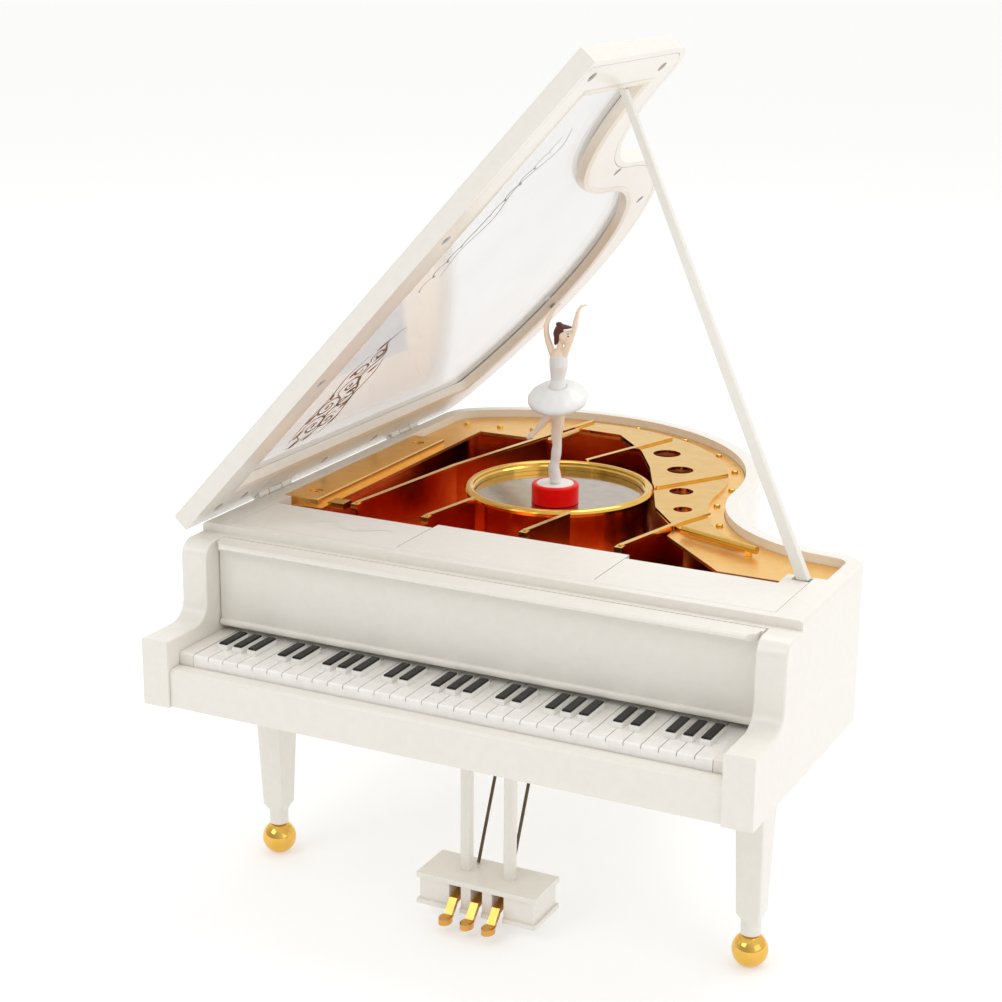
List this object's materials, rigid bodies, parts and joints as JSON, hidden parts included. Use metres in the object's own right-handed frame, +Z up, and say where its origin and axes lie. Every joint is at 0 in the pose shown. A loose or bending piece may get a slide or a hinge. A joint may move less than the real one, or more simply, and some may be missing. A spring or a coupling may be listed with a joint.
{
  "type": "ballerina jewellery box",
  "caption": "Toy grand piano that is a wind-up music box and a jewellery tray: lid on a prop, keyboard cover, gilt compartments and a dancer on a mirror stage.",
  "frame": {"origin": "on the floor under the middle of the open piano's box", "axes": "+X to the piano's treble side, +Y from the keyboard to the tail, +Z up"},
  "size_m": [0.1904, 0.214, 0.251],
  "materials": {
    "ivory_plastic": "ivory-white gloss",
    "key_ivory": "ivory gloss",
    "key_black": "charcoal satin",
    "gilt": "polished gilt",
    "gilt_satin": "satin tan gilt",
    "pedal_gilt": "dark gilt",
    "tray_red": "amber red gilt lacquer",
    "mirror": "silvered",
    "clear": "clear acrylic",
    "screw_dark": "dark plated",
    "steel": "bright steel",
    "dark_rod": "dark enamel",
    "brass": "brass",
    "cast_zinc": "cast, plated",
    "pedestal_red": "red gloss",
    "figure": "painted figure",
    "tulle": "moulded skirt"
  },
  "bodies": {
    "case": {"case_shell": "ivory_plastic", "key_slip": "ivory_plastic", "keyboard_end_blocks": "ivory_plastic", "white_keys": "key_ivory", "black_key_caps": "key_black", "fallboard_pins": "steel", "top_panel": "ivory_plastic", "desk_pins": "steel", "bottom_plate": "ivory_plastic", "bottom_screws": "steel", "leg_left": "ivory_plastic", "leg_right": "ivory_plastic", "leg_tail": "ivory_plastic", "foot_balls": "gilt", "pedal_box": "ivory_plastic", "lyre_posts": "ivory_plastic", "lyre_rods": "dark_rod", "pedals": "pedal_gilt", "gilt_tray": "tray_red", "tail_plate": "gilt_satin", "harp_plate": "gilt", "plate_rivets": "gilt", "pin_block": "gilt_satin", "pin_block_screws": "gilt_satin", "gilt_struts": "gilt", "gilt_tube": "gilt", "mirror_ring": "gilt", "mirror_disc": "mirror", "case_hinge_leaves": "ivory_plastic", "lid_hinge_pins": "steel", "movement_bed_plate": "cast_zinc", "spring_barrel": "brass", "mainspring": "steel", "comb": "steel", "comb_screws": "steel", "cylinder_bearings": "cast_zinc", "governor_bracket": "cast_zinc"},
    "fallboard": {"fallboard": "ivory_plastic"},
    "music_desk": {"music_desk": "ivory_plastic"},
    "lid": {"lid_shell": "ivory_plastic", "lid_frame": "ivory_plastic", "lid_screws": "screw_dark", "lid_window": "clear", "lid_hinge_leaves": "ivory_plastic"},
    "prop": {"lid_prop": "ivory_plastic"},
    "winding": {"great_wheel": "brass", "winding_arbor": "steel", "winding_key": "brass"},
    "cylinder": {"music_cylinder": "brass", "cylinder_pins": "steel"},
    "governor": {"governor_fan": "steel"},
    "stop": {"stop_slide": "key_black"},
    "stage": {"magnet_arm": "key_black", "arm_magnet": "steel"},
    "dancer": {"dancer_pedestal": "pedestal_red", "pedestal_cap": "key_ivory", "dancer_magnet": "steel", "dancer_figure": "figure", "dancer_tutu": "tulle"}
  },
  "joints": [
    {"name": "lid_hinge", "type": "hinge", "parent": "case", "child": "lid", "pos_m": [-0.09015, -0.00698, 0.1093], "axis": [0, -1, 0], "range_deg": [-47.55, 0]},
    {"name": "prop_off", "type": "hinge", "parent": "case", "child": "prop", "pos_m": [0.09466, -0.04268, 0.02545], "axis": [0, 1, 0], "range_deg": [0, 113.22]},
    {"name": "dancer_off", "type": "hinge", "parent": "stage", "child": "dancer", "pos_m": [0.04265, 0.00491, -0.0599], "axis": [0, 1, 0], "range_deg": [0, 85.71]},
    {"name": "fallboard_hinge", "type": "hinge", "parent": "case", "child": "fallboard", "pos_m": [0.00265, -0.07878, 0.0817], "axis": [-1, 0, 0], "range_deg": [-90, 0]},
    {"name": "music_desk_hinge", "type": "hinge", "parent": "case", "child": "music_desk", "pos_m": [0.00265, -0.06878, 0.1083], "axis": [1, 0, 0], "range_deg": [0, 75]},
    {"name": "stage_turn", "type": "hinge", "parent": "case", "child": "stage", "pos_m": [-0.01585, 0.01442, 0.09], "axis": [0, 0, 1], "continuous": true},
    {"name": "winding_turn", "type": "hinge", "parent": "case", "child": "winding", "pos_m": [-0.03519, 0.01442, 0.08], "axis": [0, 0, 1], "continuous": true},
    {"name": "cylinder_turn", "type": "hinge", "parent": "case", "child": "cylinder", "pos_m": [-0.03519, -0.01698, 0.08705], "axis": [0, 1, 0], "continuous": true},
    {"name": "governor_turn", "type": "hinge", "parent": "case", "child": "governor", "pos_m": [-0.02809, -0.02888, 0.08], "axis": [0, 0, 1], "continuous": true},
    {"name": "stop_slide_travel", "type": "slide", "parent": "case", "child": "stop", "axis": [1, 0, 0], "range_m": [0, 0.004]}
  ],
  "couplings": [
    {"joint": "prop_off", "follows": "lid_hinge", "ratio": -2.381},
    {"joint": "dancer_off", "follows": "lid_hinge", "ratio": -1.8023},
    {"joint": "winding_turn", "follows": "stage_turn", "ratio": -0.33333},
    {"joint": "cylinder_turn", "follows": "stage_turn", "ratio": 1.3333},
    {"joint": "governor_turn", "follows": "stage_turn", "ratio": 32}
  ]
}
